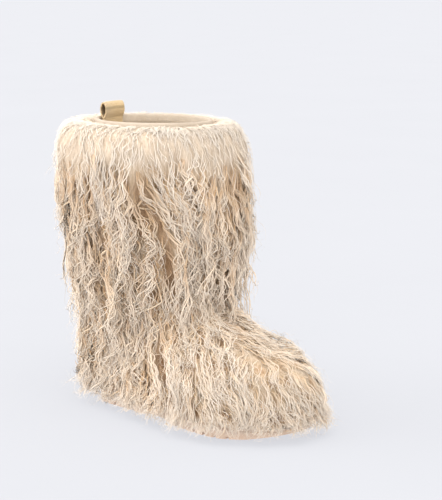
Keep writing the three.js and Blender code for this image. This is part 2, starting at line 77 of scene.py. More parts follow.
# Bands in metres, along the axis in their name, over which one look gives way to the next.
INSTEP_X = (0.05, 0.11)
VAMP_X = (0.07, 0.12)
TOE_X = (0.10, 0.17)
HEEL_X = (-0.02, 0.06)
FLOOR_Z = (0.006, 0.030)
SOLE_Z = (0.012, 0.055)
FRINGE_Z = (0.045, 0.075)
PARTING_Z = (0.06, 0.18)
ANKLE_Z = (0.085, 0.150)
SHIN_Z = (0.10, 0.15)
SHAFT_TOP_Z = (0.222, 0.268)
CROWN_Z = (0.245, 0.27)
COLLAR_Z = (0.268, 0.281)

# Undercoat: how far the wool is set back under the locks, and how high its ridges stand.
WOOL_BACK_MM = 1.2
DEEP_WOOL_BACK_MM = 10.5
HEM_WOOL_BACK_MM = 4
RIDGE_MM = 1.0
DEEP_RIDGE_MM = 3.0

# Locks: where they are rooted and how long they are.
GUIDE_POINTS = 24
LOCK_SPACING = 12 * MM
LOCK_TRIES = 30000
TUFT_SPACING = 6 * MM
TUFT_TRIES = 8000
TUFT_ROOTS = (22 * MM, 38 * MM)
RIM_ROOTS = 130
CROWN_LOCKS_FROM = 0.228
LOCK_LENGTH_MM = 84
CROWN_SHORTER_MM = 24
FOOT_SHORTER_MM = 28
TUFT_LENGTH_MM = 36

# Strands: how many there are and how they curl.
TUBE_SIDES = 3
STRANDS_PER_LOCK = 6
STRANDS_PER_TUFT = 6
UNDER_STRANDS = 1800
LOOSE_STRANDS = 460
BRUSHED_STRANDS = 2000
TOE_STRANDS = 900
WISPS = 2000
WIDE_MM = 10
TWIST_LENGTH = 30 * MM
CURLY_SWING = 2.0
HOOK_SHARE = 0.30
HOOK_RADIUS_MM = (1.3, 3.2)
HOOK_HALF_TURNS = (0.9, 2.3)

# Shades of hair: screen colours from root to tip, how fine its fibres are and how much light soaks in.
SHADES = {
    # The hair under the locks is darker, painted shade of the deep coat.
    "fleece_under": {
        "root": (204, 170, 134), "middle": (224, 198, 168), "tip": (234, 214, 189),
        "fibres": 2.2, "glow": 0.35,
    },
    "fleece_lock": {
        "root": (211, 182, 152), "middle": (227, 207, 185), "tip": (233, 219, 203),
        "fibres": 0.9, "glow": 0.35,
    },
    # The pale hair on the collar, over the toe and in the wisps is lighter, partly paler hair and partly
    # painted light on the lit top and edges.
    "fleece_pale": {
        "root": (225, 209, 188), "middle": (230, 217, 201), "tip": (234, 224, 212),
        "fibres": 0.9, "glow": 0.2,
    },
}

# Layers of hair. Lengths are in millimetres, and a pair is a range from which each strand gets its own value.
# points: how many places there are along a strand.
# begin, reach: the shares of its lock at which a strand starts and ends.
# rise, root: the share of a strand in which it comes up from its root, and how deep in the wool that lies.
# width: how far strands stray beside their lock.
# height, lift: how far above the skin a strand lies, and how much of its lock's own height it takes.
# bundle: how far strands wind round the middle of their lock.
# flare: how far their tips stand off.
# radius, flat: how thick strands are, and how many times as wide.
# waves: the length and the swing of each wave along a strand.
# loose, mottle: how far a strand's waves and its tone stray from those of its lock.
# hooks, curly: the shares of strands that end in a hook and that swing more.
# lean: how far a strand's shading turns to that of the skin.
LAYERS = {
    "under": {
        "points": 12, "begin": (0, 0.45), "reach": (0.55, 1.0), "rise": 0.3, "root": 4,
        "width": 24, "height": (-9, -2.5), "lift": 0.3, "bundle": (0, 2), "flare": (0, 3),
        "radius": (0.25, 0.5), "flat": (1.6, 3.2), "waves": ((14, 1.2), (20, 1.6), (38, 2.4)),
        "loose": 0.6, "hooks": 0.0, "curly": 0.3, "mottle": 0.14, "lean": 0.5,
    },
    "lock": {
        "points": 16, "begin": (0, 0.12), "reach": (0.72, 1.0), "rise": 0.12, "root": 3,
        "width": 1.2, "height": (-1, 0.5), "lift": 1.0, "bundle": (0.7, 3.4), "flare": (0, 3),
        "radius": (0.26, 0.5), "flat": (1.2, 2.0), "waves": ((19, 1.5), (25, 1.7), (37, 2.6), (60, 3.6)),
        "loose": 0.22, "hooks": 0.5, "curly": 0.2, "mottle": 0.1, "lean": 0.65,
    },
    "loose": {
        "points": 21, "begin": (0.1, 0.5), "reach": (0.6, 1.0), "rise": 0.3, "root": 4,
        "width": 13, "height": (0, 5), "lift": 0.8, "bundle": (0, 2), "flare": (0, 6),
        "radius": (0.2, 0.36), "flat": (1.0, 1.5), "waves": ((9.5, 1.0), (13, 1.7), (23, 2.0), (45, 3.0)),
        "loose": 0.7, "hooks": 0.8, "curly": 0.8, "mottle": 0.15, "lean": 0.6,
    },
    "brushed": {
        "points": 7, "begin": (0, 0.2), "reach": (0.26, 0.66), "rise": 0.3, "root": 0.6,
        "width": 22, "height": (-0.5, 2.2), "lift": 0.1, "bundle": (0, 1), "flare": (0, 3),
        "radius": (0.1, 0.2), "flat": (1.6, 3.4), "waves": ((9, 1.0), (17, 2.0)),
        "loose": 1.5, "hooks": 0.0, "curly": 0.0, "mottle": 0.05, "lean": 1.8,
    },
    "toe": {
        "points": 12, "begin": (0, 0.5), "reach": (0.5, 1.0), "rise": 0.3, "root": 2,
        "width": 20, "height": (-1, 2), "lift": 0.5, "bundle": (0, 1.5), "flare": (0, 4),
        "radius": (0.16, 0.3), "flat": (1.4, 2.4), "waves": ((12, 0.8), (18, 1.6), (32, 2.4)),
        "loose": 0.8, "hooks": 0.3, "curly": 0.2, "mottle": 0.08, "lean": 0.7,
    },
    "fringe": {
        "points": 12, "begin": (0, 0.1), "reach": (0.75, 1.0), "rise": 0.25, "root": 3,
        "width": 4, "height": (-3, 1), "lift": 0.4, "bundle": (0.5, 2.6), "flare": (-1, 9),
        "radius": (0.2, 0.4), "flat": (1.1, 1.8), "waves": ((11, 0.9), (17, 1.5), (30, 2.0)),
        "loose": 0.4, "hooks": 0.7, "curly": 0.3, "mottle": 0.12, "lean": 0.35,
    },
    "wisps": {
        "points": 10, "begin": (0.2, 0.6), "reach": (0.7, 1.0), "rise": 0.3, "root": 2,
        "width": 16, "height": (-3, 6), "lift": 0.3, "bundle": (0, 2), "flare": (2, 14),
        "radius": (0.1, 0.2), "flat": (1.0, 1.2), "waves": ((16, 1.6), (23, 2.4), (35, 3.6)),
        "loose": 2.0, "hooks": 0.4, "curly": 0.3, "mottle": 0.1, "lean": 0.4,
    },
}

# Far, wide lamps. along: how far the light goes to the camera's right, away from the camera and up.
SUNS = {
    "top": {"along": (-0.05, 0.45, -1), "softness": 60, "strength": 1.35, "color": (1, 0.98, 0.955)},
    "front": {"along": (0, 1, -0.3), "softness": 60, "strength": 1.15, "color": (1, 0.98, 0.955)},
    "left": {"along": (1, -0.12, -0.3), "softness": 70, "strength": 2.5, "color": (1, 0.985, 0.975)},
}


def srgb(red, green, blue):
    """A colour given in 0..255 screen values, as linear RGBA."""
    def linear(value):
        value /= 255
        return value / 12.92 if value <= 0.04045 else ((value + 0.055) / 1.055) ** 2.4
    return (linear(red), linear(green), linear(blue), 1)


def smoothstep(low, high, value):
    """How far a value is on its way from low to high, 0 to 1, with soft ends."""
    share = np.clip((np.asarray(value, float) - low) / (high - low), 0, 1)
    return share * share * (3 - 2 * share)


def mesh_object(name, points, faces):
    """A new smooth object in the scene."""
    mesh = bpy.data.meshes.new(name)
    mesh.from_pydata([tuple(p) for p in points], [], faces)
    mesh.update()
    mesh.polygons.foreach_set("use_smooth", [True] * len(mesh.polygons))
    obj = bpy.data.objects.new(name, mesh)
    bpy.context.scene.collection.objects.link(obj)
    return obj


def mesh_arrays(mesh):
    """Vertices of a mesh as an array, and its faces as tuples of vertex numbers."""
    flat = np.empty(len(mesh.vertices) * 3)
    mesh.vertices.foreach_get("co", flat)
    return flat.reshape(-1, 3), [tuple(p.vertices) for p in mesh.polygons]


def tree_of(*nodes):
    """One search tree over the named solids."""
    points = []
    faces = []
    for node in nodes:
        more, polygons = mesh_arrays(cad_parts[node].data)
        faces += [tuple(i + len(points) for i in polygon) for polygon in polygons]
        points += [Vector(p) for p in more]
    return BVHTree.FromPolygons(points, faces)


# Materials

def new_material(name):
    """A material, its node tree and its shader."""
    material = bpy.data.materials.new(name)
    material.use_nodes = True
    tree = material.node_tree
    return material, tree, tree.nodes["Principled BSDF"]


def set_inputs(node, values):
    """Sets inputs of a node, each given by its name or number."""
    for key, value in values.items():
        node.inputs[key].default_value = value


def add_node(tree, kind, inputs=None, **settings):
    """A new node with its settings and with values for its inputs."""
    node = tree.nodes.new(kind)
    for key, value in settings.items():
        setattr(node, key, value)
    set_inputs(node, inputs or {})
    return node


def wire(tree, *links):
    """Links, each given as a node and its output, and a node and its input."""
    for source, output, target, socket in links:
        tree.links.new(source.outputs[output], target.inputs[socket])


def ramp(tree, stops):
    """A colour ramp through (position, colour) pairs."""
    node = tree.nodes.new("ShaderNodeValToRGB")
    elements = node.color_ramp.elements
    elements[0].position, elements[0].color = stops[0]
    elements[-1].position, elements[-1].color = stops[-1]
    for position, color in stops[1:-1]:
        elements.new(position).color = color
    return node


def range_node(tree, source, target):
    """Takes values from one range to another."""
    return add_node(tree, "ShaderNodeMapRange", {
        "From Min": source[0],
        "From Max": source[1],
        "To Min": target[0],
        "To Max": target[1],
    })


def product_node(tree):
    """Multiplies the colours A and B."""
    return add_node(tree, "ShaderNodeMix", {"Factor": 1}, data_type="RGBA", blend_type="MULTIPLY")


def noise_node(tree, scale, detail=3, roughness=0.55, stretch=(1, 1, 1)):
    """Noise in the object's own coordinates."""
    coordinates = add_node(tree, "ShaderNodeTexCoord")
    mapping = add_node(tree, "ShaderNodeMapping", {"Scale": stretch})
    texture = add_node(tree, "ShaderNodeTexNoise", {"Scale": scale, "Detail": detail, "Roughness": roughness})
    wire(tree, (coordinates, "Object", mapping, "Vector"), (mapping, "Vector", texture, "Vector"))
    return texture


def bump_node(tree, height, distance, strength=1):
    """Raises a surface by a height that another node gives."""
    node = add_node(tree, "ShaderNodeBump", {"Strength": strength, "Distance": distance})
    tree.links.new(height, node.inputs["Height"])
    return node


def hair_material(name):
    """Hair with painted shade at its root, a brightness for each strand and finer fibres along it."""
    material, tree, shader = new_material(name)
    shade = SHADES[name]
    root, middle, tip = (srgb(*shade[part]) for part in ("root", "middle", "tip"))
    # Painted shade: the roots, which lie deep in the coat, are darker than the tips.
    gradient = ramp(tree, [(0, root), (0.30, middle), (0.75, tip), (1, tip)])
    along, across, tone_and_light = (
        add_node(tree, "ShaderNodeAttribute", attribute_name=attribute)
        for attribute in ("along", "across", "tone_and_light")
    )
    place = add_node(tree, "ShaderNodeCombineXYZ")
    for value, factor, axis in ((across, shade["fibres"], "X"), (along, 2.6, "Y"), (tone_and_light, 61, "Z")):
        scaled = add_node(tree, "ShaderNodeMath", {1: factor}, operation="MULTIPLY")
        wire(tree, (value, "Fac", scaled, 0), (scaled, "Value", place, axis))
    fibre = add_node(tree, "ShaderNodeTexNoise", {"Scale": 1.0, "Detail": 2.0, "Roughness": 0.5})
    spread = range_node(tree, (0, 1), (0.88, 1.08))
    jitter = range_node(tree, (0.3, 0.7), (0.88, 1.08))
    brightness = add_node(tree, "ShaderNodeMath", operation="MULTIPLY")
    # Less bright hair is also more strongly coloured, partly its deeper colour and partly painted warm light
    # bounced between hairs.
    gamma = add_node(tree, "ShaderNodeMath", {1: -1.3, 2: 2.35}, operation="MULTIPLY_ADD")
    tinted = add_node(tree, "ShaderNodeGamma")
    bump = bump_node(tree, fibre.outputs["Fac"], 0.2 * MM, 0.5)
    wire(
        tree,
        (along, "Fac", gradient, "Fac"),
        (tone_and_light, "Fac", spread, "Value"),
        (place, "Vector", fibre, "Vector"),
        (fibre, "Fac", jitter, "Value"),
        (spread, "Result", brightness, 0),
        (jitter, "Result", brightness, 1),
        (brightness, "Value", gamma, 0),
        (gamma, "Value", tinted, "Gamma"),
        (gradient, "Color", tinted, "Color"),
        (tinted, "Color", shader, "Base Color"),
        (bump, "Normal", shader, "Normal"),
    )
    set_inputs(shader, {
        "Roughness": 0.7,
        "Specular IOR Level": 0.0,
        "Sheen Weight": 0.2,
        "Sheen Roughness": 0.5,
        "Sheen Tint": srgb(255, 240, 222),
        "Subsurface Weight": shade["glow"],
        "Subsurface Radius": (1.0, 0.95, 0.9),
        "Subsurface Scale": 1.4 * MM,
    })
    return material


def undercoat_material():
    """Matted wool under the locks, with hair lines running down, and painted shade, dark tan, in its hollows.
    """
    material, tree, shader = new_material("fleece_undercoat")
    shade_and_tone = add_node(tree, "ShaderNodeAttribute", attribute_name="shade_and_tone")
    # The ramp runs from painted shade, dark tan in the hollows and by the floor, to the paler wool by the
    # collar and on the toe, which is partly painted light.
    gradient = ramp(tree, [
        (0, srgb(126, 97, 70)),
        (0.14, srgb(176, 143, 110)),
        (0.45, srgb(206, 178, 149)),
        (0.75, srgb(216, 196, 171)),
        (1, srgb(213, 198, 180)),
    ])
    lines = noise_node(tree, 300, 6, 0.7, (1, 1, 0.14))
    grain = ramp(tree, [(0.36, (0.74, 0.68, 0.62, 1)), (0.64, (1.1, 1.09, 1.08, 1))])
    product = product_node(tree)
    bump = bump_node(tree, lines.outputs["Fac"], 2.5 * MM, 0.9)
    wire(
        tree,
        (shade_and_tone, "Fac", gradient, "Fac"),
        (lines, "Fac", grain, "Fac"),
        (gradient, "Color", product, "A"),
        (grain, "Color", product, "B"),
        (product, "Result", shader, "Base Color"),
        (bump, "Normal", shader, "Normal"),
    )
    set_inputs(shader, {"Roughness": 0.85, "Specular IOR Level": 0.2})
    return material


def spotted_material(name, dark, light, scale, bump_mm, roughness, sheen=0.0):
    """A soft matt material with a fine grain, its colour moving between dark and light."""
    material, tree, shader = new_material(name)
    grain = noise_node(tree, scale, 5, 0.6)
    cloud = noise_node(tree, scale / 12, 3)
    cloud_part = add_node(tree, "ShaderNodeMath", {1: 0.45}, operation="MULTIPLY")
    average = add_node(tree, "ShaderNodeMath", {1: 0.55}, operation="MULTIPLY_ADD")
    colors = ramp(tree, [(0.34, dark), (0.66, light)])
    rough = range_node(tree, (0, 1), (roughness - 0.08, roughness + 0.08))
    bump = bump_node(tree, grain.outputs["Fac"], bump_mm * MM)
    wire(
        tree,
        (cloud, "Fac", cloud_part, 0),
        (grain, "Fac", average, 0),
        (cloud_part, "Value", average, 2),
        (average, "Value", colors, "Fac"),
        (colors, "Color", shader, "Base Color"),
        (grain, "Fac", rough, "Value"),
        (rough, "Result", shader, "Roughness"),
        (bump, "Normal", shader, "Normal"),
    )
    set_inputs(shader, {"Specular IOR Level": 0.3, "Sheen Weight": sheen})
    return material


def twill_material():
    """Khaki twill with fine slanting ribs, and painted shade and a painted highlight near the loop's top."""
    material, tree, shader = new_material("khaki_twill")
    coordinates = add_node(tree, "ShaderNodeTexCoord")
    mapping = add_node(tree, "ShaderNodeMapping", {"Rotation": (math.radians(38), 0, 0)})
    ribs = add_node(
        tree, "ShaderNodeTexWave", {"Scale": 260, "Distortion": 1.2, "Detail": 2}, bands_direction="Z",
    )
    fibre = noise_node(tree, 900, 3)
    mixed = add_node(tree, "ShaderNodeMath", operation="MULTIPLY")
    colors = ramp(tree, [(0.05, srgb(158, 134, 95)), (0.35, srgb(208, 184, 145)), (0.7, srgb(228, 210, 177))])
    axes = add_node(tree, "ShaderNodeSeparateXYZ")
    height = range_node(tree, (0.292, 0.304), (0, 1))
    # Painted shade and highlight by height: a dark band across the tape just below its top, and a lighter top.
    flat, painted_fold_shade, painted_fold_highlight = (0.94, 0.93, 0.92, 1), (0.66, 0.66, 0.62, 1), (1.08, 1.08, 1.08, 1)
    bands = ramp(tree, [
        (0, flat),
        (0.34, flat),
        (0.42, painted_fold_shade),
        (0.55, (0.70, 0.70, 0.66, 1)),
        (0.64, (1.05, 1.04, 1.02, 1)),
        (1, painted_fold_highlight),
    ])
    painted_fold_light = product_node(tree)
    bump = bump_node(tree, mixed.outputs["Value"], 0.35 * MM)
    wire(
        tree,
        (coordinates, "Object", mapping, "Vector"),
        (mapping, "Vector", ribs, "Vector"),
        (ribs, "Fac", mixed, 0),
        (fibre, "Fac", mixed, 1),
        (mixed, "Value", colors, "Fac"),
        (coordinates, "Object", axes, "Vector"),
        (axes, "Z", height, "Value"),
        (height, "Result", bands, "Fac"),
        (colors, "Color", painted_fold_light, "A"),
        (bands, "Color", painted_fold_light, "B"),
        (painted_fold_light, "Result", shader, "Base Color"),
        (bump, "Normal", shader, "Normal"),
    )
    set_inputs(shader, {"Roughness": 0.82, "Sheen Weight": 0.2})
    return material


# The fleece's outer skin, on which the hair lies

def remeshed_fleece():
    """The fleece solid as an even, smooth mesh."""
    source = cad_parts["fur"]
    copy = bpy.data.objects.new("remeshed", source.data.copy())
    bpy.context.scene.collection.objects.link(copy)
    remesh = copy.modifiers.new("even", "REMESH")
    remesh.mode = "VOXEL"
    remesh.voxel_size = VOXEL
    relax = copy.modifiers.new("relax", "SMOOTH")
    relax.factor = 0.5
    relax.iterations = SKIN_SMOOTHING
    graph = bpy.context.evaluated_depsgraph_get()
    mesh = bpy.data.meshes.new_from_object(copy.evaluated_get(graph))
    bpy.data.objects.remove(copy)
    return mesh


def outward_faces(points, faces):
    """For each face, whether it looks away from the hide and the sole, with its middle and its normal."""
    inner = tree_of("upper", "outsole", "collar_binding")
    reach = 16 * MM
    nearest_hair = 6 * MM
    outward = np.zeros(len(faces), bool)
    normals = np.zeros((len(faces), 3))
    centres = np.zeros((len(faces), 3))
    for i, face in enumerate(faces):
        corners = points[list(face)]
        normal = np.cross(corners[2] - corners[0], corners[-1] - corners[1])
        normals[i] = normal / max(np.linalg.norm(normal), 1e-12)
        centres[i] = corners.mean(0)
        middle = Vector(centres[i])
        if inner.ray_cast(middle, Vector(normals[i]), reach)[0] is not None:
            continue
        if middle.z < SHOULDER_HEIGHT:
            outward[i] = inner.find_nearest(middle)[3] > nearest_hair
        else:
            away = middle - SHAFT_MIDDLE
            outward[i] = normals[i][2] > 0.3 or away.x * normals[i][0] + away.y * normals[i][1] > 0
    return outward, centres, normals


def comb_direction(point, normal):
    """The way the hair lies at a point of the skin: down, out over the shoulder and forward over the foot."""
    way = Vector((0, 0, -1))
    over_foot = float(smoothstep(*INSTEP_X, point.x) * (1 - smoothstep(*ANKLE_Z, point.z)))
    over_foot *= float(smoothstep(*SOLE_Z, point.z))
    # Over the foot it lies forward and to both sides.
    way += over_foot * Vector((0.85, 0.9 * math.tanh(point.y / 0.03) * max(normal.z, 0), 0))
    # On the shaft it parts to the front and to the back.
    parting = 0.42 * math.tanh((point.x - SHAFT_MIDDLE.x) / 0.045) * float(smoothstep(*PARTING_Z, point.z))
    way += (1 - over_foot) * Vector((parting, 0, 0))
    # On the shoulder it lies outward.
    outward = point - SHAFT_MIDDLE
    outward.z = 0
    outward.normalize()
    way += 1.4 * float(smoothstep(SHOULDER_HEIGHT, RIM_HEIGHT, point.z)) * outward
    way -= normal * way.dot(normal)
    way.normalize()
    # Everywhere it strays a little.
    turn = 0.7 * noise.noise(point * 24) + 0.5 * noise.noise(point * 61 + Vector((5, 1, 2)))
    across = normal.cross(way)
    return (way * math.cos(turn) + across * math.sin(turn)).normalized()


def walk(skin, start, step, count, lowest):
    """Places and outward directions on the way down the skin from start, at most down to lowest.

    Below the hem the hair leaves the skin and hangs.
    """
    points = []
    normals = []
    place = start.copy()
    way = Vector((0, 0, -1))
    normal = Vector((0, 0, 1))
    hanging = False
    for _ in range(count):
        if not hanging:
            near, normal, _, _ = skin.find_nearest(place)
            hanging = normal.z < -0.3 or near.z < HEM_HEIGHT
            if not hanging:
                place = near
                way = comb_direction(place, normal)
        if hanging:
            way = (way + Vector((0, 0, -0.8))).normalized()
            normal = (normal - way * normal.dot(way)).normalized()
        points.append(place.copy())
        normals.append(normal.copy())
        place = place + way * step
        if place.z < lowest:
            break
    return points, normals


def march(skin, start, length, lowest):
    """Places, outward and sideways directions of a lock that lies down the skin, and its length."""
    step = length / (GUIDE_POINTS - 1)
    points, normals = walk(skin, start, step, GUIDE_POINTS, lowest)
    if len(points) < GUIDE_POINTS:
        step *= max(len(points) - 1, 1) / (GUIDE_POINTS - 1)
        points, normals = walk(skin, start, step, GUIDE_POINTS, -1)
    points = np.array(points)
    normals = np.array(normals)
    tangents = np.gradient(points, axis=0)
    across = np.cross(tangents, normals)
    across /= np.maximum(np.linalg.norm(across, axis=1, keepdims=True), 1e-9)
    normals = np.cross(across, tangents)
    normals /= np.maximum(np.linalg.norm(normals, axis=1, keepdims=True), 1e-9)
    return points, normals, across, step * (GUIDE_POINTS - 1)


def scatter(centres, areas, spacing, tries):
    """Numbers of faces, picked by area, whose centres lie at least spacing apart."""
    picks = rng.choice(len(centres), size=tries, p=areas / areas.sum())
    kept = []
    cells = {}
    for face in picks:
        place = centres[face]
        cell = tuple((place // spacing).astype(int))
        near = (
            other
            for i in (-1, 0, 1) for j in (-1, 0, 1) for k in (-1, 0, 1)
            for other in cells.get((cell[0] + i, cell[1] + j, cell[2] + k), ())
        )
        if all(np.linalg.norm(centres[other] - place) > spacing for other in near):
            kept.append(face)
            cells.setdefault(cell, []).append(face)
    return kept


# Hair strands as thin closed tubes of three sides

def tube_faces(rings):
    """Corner numbers of one strand's faces, round its rings and to the tip that follows them."""
    quads = []
    for ring in range(rings - 1):
        for corner in range(TUBE_SIDES):
            after = (corner + 1) % TUBE_SIDES
            low = TUBE_SIDES * ring
            quads.append((low + after, low + corner, low + TUBE_SIDES + corner, low + TUBE_SIDES + after))
    last = TUBE_SIDES * (rings - 1)
    tip = TUBE_SIDES * rings
    triangles = [(last + (corner + 1) % TUBE_SIDES, last + corner, tip) for corner in range(TUBE_SIDES)]
    triangles.append((0, 1, 2))
    return quads, triangles


def tube_mesh(name, strands):
    """One object of many closed tubes of three sides, whose ends taper to a point."""
    paths = strands["paths"]
    total, count, _ = paths.shape
    tangents = np.gradient(paths, axis=1)
    tangents /= np.maximum(np.linalg.norm(tangents, axis=2, keepdims=True), 1e-9)
    side = np.cross(tangents, strands["ups"])
    side /= np.maximum(np.linalg.norm(side, axis=2, keepdims=True), 1e-9)
    top = np.cross(side, tangents)
    radii = strands["radii"][..., None]
    corners = []
    for corner in range(TUBE_SIDES):
        angle = 2 * math.pi * corner / TUBE_SIDES + math.pi / 2
        wide = math.cos(angle) * strands["flat"][:, None, None] * side
        corners.append(paths + radii * (wide + math.sin(angle) * top))
    rings = np.stack(corners, axis=2)[:, :-1]
    # The shading turns towards that of the skin, as hair that lies close together looks.
    soft = rings - paths[:, :-1, None]
    soft /= np.maximum(np.linalg.norm(soft, axis=3, keepdims=True), 1e-9)
    soft = soft + strands["lean"][:, None, None, None] * strands["ups"][:, :-1, None]
    soft = np.concatenate([soft.reshape(total, -1, 3), strands["ups"][:, -1:]], axis=1)
    soft /= np.maximum(np.linalg.norm(soft, axis=2, keepdims=True), 1e-9)
    points = np.concatenate([rings.reshape(total, -1, 3), paths[:, -1:]], axis=1)
    per_strand = points.shape[1]
    quads, triangles = tube_faces(count - 1)
    offsets = np.arange(total)[:, None, None] * per_strand
    quad_loops = (np.array(quads)[None] + offsets).reshape(total, -1)
    triangle_loops = (np.array(triangles)[None] + offsets).reshape(total, -1)
    loops = np.concatenate([quad_loops, triangle_loops], axis=1).ravel()
    sizes = np.tile(np.array([4] * len(quads) + [3] * len(triangles)), total)
    starts = np.concatenate([[0], np.cumsum(sizes)[:-1]])
    mesh = bpy.data.meshes.new(name)
    mesh.vertices.add(total * per_strand)
    mesh.vertices.foreach_set("co", points.astype(np.float32).ravel())
    mesh.loops.add(len(loops))
    mesh.loops.foreach_set("vertex_index", loops.astype(np.int32))
    mesh.polygons.add(len(sizes))
    mesh.polygons.foreach_set("loop_start", starts.astype(np.int32))
    mesh.polygons.foreach_set("use_smooth", np.ones(len(sizes), bool))
    mesh.update(calc_edges=True)
    mesh.normals_split_custom_set_from_vertices(soft.reshape(-1, 3))
    along = strands["along"]
    ring_across = np.tile([0, -1, 1], count - 1)
    values = {
        "along": np.concatenate([np.repeat(along[:, :-1], TUBE_SIDES, axis=1), along[:, -1:]], axis=1),
        "across": np.tile(np.append(ring_across, 0), (total, 1)),
        "tone_and_light": np.repeat(strands["tone_and_light"][:, None], per_strand, axis=1),
    }
    for attribute, numbers in values.items():
        layer = mesh.attributes.new(attribute, "FLOAT", "POINT")
        layer.data.foreach_set("value", numbers.astype(np.float32).ravel())
    obj = bpy.data.objects.new(name, mesh)
    bpy.context.scene.collection.objects.link(obj)
    return obj


def sample_guides(guides, owner, share):
    """Guide values at each strand's shares of the way along its own guide."""
    at = np.clip(share, 0, 1) * (GUIDE_POINTS - 1)
    low = np.minimum(at.astype(int), GUIDE_POINTS - 2)
    part = (at - low)[..., None]
    return guides[owner[:, None], low] * (1 - part) + guides[owner[:, None], low + 1] * part


def settle(skin, places, ups):
    """Draws places beside a lock's middle back on to the skin, but leaves the hair that hangs below it."""
    settled = places.copy()
    outward = ups.copy()
    held = smoothstep(HEM_HEIGHT, HEM_HEIGHT + HEM_BAND, places[..., 2])
    for index in np.argwhere(held > 0):
        at = tuple(index)
        near, normal, _, _ = skin.find_nearest(Vector(places[at]))
        settled[at] += held[at] * (np.array(near) - places[at])
        outward[at] += held[at] * (np.array(normal) - ups[at])
    outward /= np.maximum(np.linalg.norm(outward, axis=-1, keepdims=True), 1e-9)
    return settled, outward


def grow(guides, kind, owner, skin):
    """Strands of one layer that follow the locks in owner. kind is a row of LAYERS."""
    total = len(owner)

    def pick(low, high):
        """A value for each strand."""
        return rng.uniform(low, high, total)

    # Where the strand lies on its lock.
    begin = pick(*kind["begin"])[:, None]
    reach = pick(*kind["reach"])[:, None]
    steps = np.linspace(0, 1, kind["points"])[None] ** 0.9
    hooked = rng.random(total) < kind["hooks"]
    turn_from = 1 - HOOK_SHARE * hooked[:, None]
    share = begin + (reach - begin) * np.minimum(steps, turn_from)
    places = sample_guides(guides["points"], owner, share)
    ups = sample_guides(guides["normals"], owner, share)
    across = sample_guides(guides["across"], owner, share)
    down = np.cross(ups, across)
    travelled = guides["length"][owner][:, None] * share
    # How far it strays beside its lock and stands off the skin.
    gather = 1 - pick(0.3, 0.85)[:, None] * share
    sideways = rng.normal(0, 0.42, total)[:, None] * kind["width"] * MM * gather
    rise = smoothstep(0, kind["rise"], steps)
    height = pick(*kind["height"]) * guides["room"][owner] + kind["lift"] * guides["raise"][owner]
    height = height[:, None] * MM
    proud = -kind["root"] * MM * (1 - rise) + rise * height
    # The strands of one lock wind round its middle and come together at its tip.
    winding = pick(0, 2 * math.pi)[:, None] + travelled * guides["twist"][owner][:, None] / TWIST_LENGTH
    ring = pick(*kind["bundle"])[:, None] * MM * guides["girth"][owner][:, None] * (1 - 0.8 * steps ** 1.3)
    sideways = sideways + ring * np.cos(winding)
    proud = proud + 0.7 * ring * np.sin(winding)
    proud = proud + (pick(*kind["flare"]) * guides["spread"][owner] * MM)[:, None] * steps ** 2
    # Its waves.
    lively = 1 - 0.85 * guides["calm"][owner]
    swell = smoothstep(0.02, 0.35, steps) * (0.7 + 0.6 * steps)
    curly = np.where(rng.random(total) < kind["curly"], CURLY_SWING, 1.0)
    for number, (wave_mm, swing_mm) in enumerate(kind["waves"]):
        stretch = pick(0.85, 1.2) * guides["stretch"][owner]
        phase = guides["phase"][owner, number] + rng.normal(0, kind["loose"], total)
        turning = phase[:, None] + 2 * math.pi * travelled / (wave_mm * MM * stretch)[:, None]
        swing = swing_mm * MM * guides["swing"][owner, number] * pick(0.4, 1.5) * lively
        swing *= curly if number < 2 else 1
        sideways = sideways + swing[:, None] * swell * np.sin(turning)
        proud = proud + 0.55 * swing[:, None] * swell * np.cos(0.9 * turning + number)
    # The ends of hooked strands curl round to one side.
    hook = np.clip((steps - turn_from) / np.maximum(1 - turn_from, 1e-6), 0, 1) * hooked[:, None]
    angle = hook ** 1.2 * pick(*HOOK_HALF_TURNS)[:, None] * math.pi
    radius = (pick(*HOOK_RADIUS_MM) * MM)[:, None]
    hand = np.where(rng.random(total) < 0.5, -1, 1)[:, None]
    sideways = sideways + hand * radius * (1 - np.cos(angle))
    forward = radius * np.sin(angle)
    proud = proud + 0.5 * radius * hook
    places = places + across * sideways[..., None] + down * forward[..., None]
    # Strands that stray far from their lock would leave the curved skin.
    if kind["width"] > WIDE_MM:
        places, ups = settle(skin, places, ups)
    paths = places + ups * proud[..., None]
    paths[..., 2] = np.maximum(paths[..., 2], FLOOR_CLEAR)
    # It is thickest in its middle.
    thick = (pick(*kind["radius"]) * guides["fine"][owner])[:, None] * MM
    body = 0.45 + 0.55 * smoothstep(0, 0.15, steps)
    radii = thick * body * (1 - 0.75 * smoothstep(0.45, 1.0, steps))
    return {
        "paths": paths,
        "ups": ups,
        "lean": np.full(total, kind["lean"]),
        "radii": radii,
        "flat": pick(*kind["flat"]),
        "along": np.broadcast_to(steps, share.shape),
        "tone_and_light": np.clip(guides["tone_and_light"][owner] + rng.normal(0, kind["mottle"], total), 0, 1),
    }


def rim_roots():
    """Places close round the collar's edge where the brushed hair begins."""
    curve = rim_curve(RIM_ROOTS)
    middle = curve.mean(0)
    places = []
    for point in curve:
        outward = (point - middle) * (1, 1, 0)
        outward /= np.linalg.norm(outward)
        places.append(Vector(point + outward * rng.uniform(2.2, 5) * MM - np.array((0, 0, 0.8 * MM))))
    return places


def hem_roots(centres, areas):
    """Places low on the skin, all round, where the fringe begins."""
    lowest, highest = TUFT_ROOTS
    low = np.flatnonzero((centres[:, 2] > lowest) & (centres[:, 2] < highest))
    picked = scatter(centres[low], areas[low], TUFT_SPACING, TUFT_TRIES)
    return [Vector(centres[low[face]]) for face in picked]


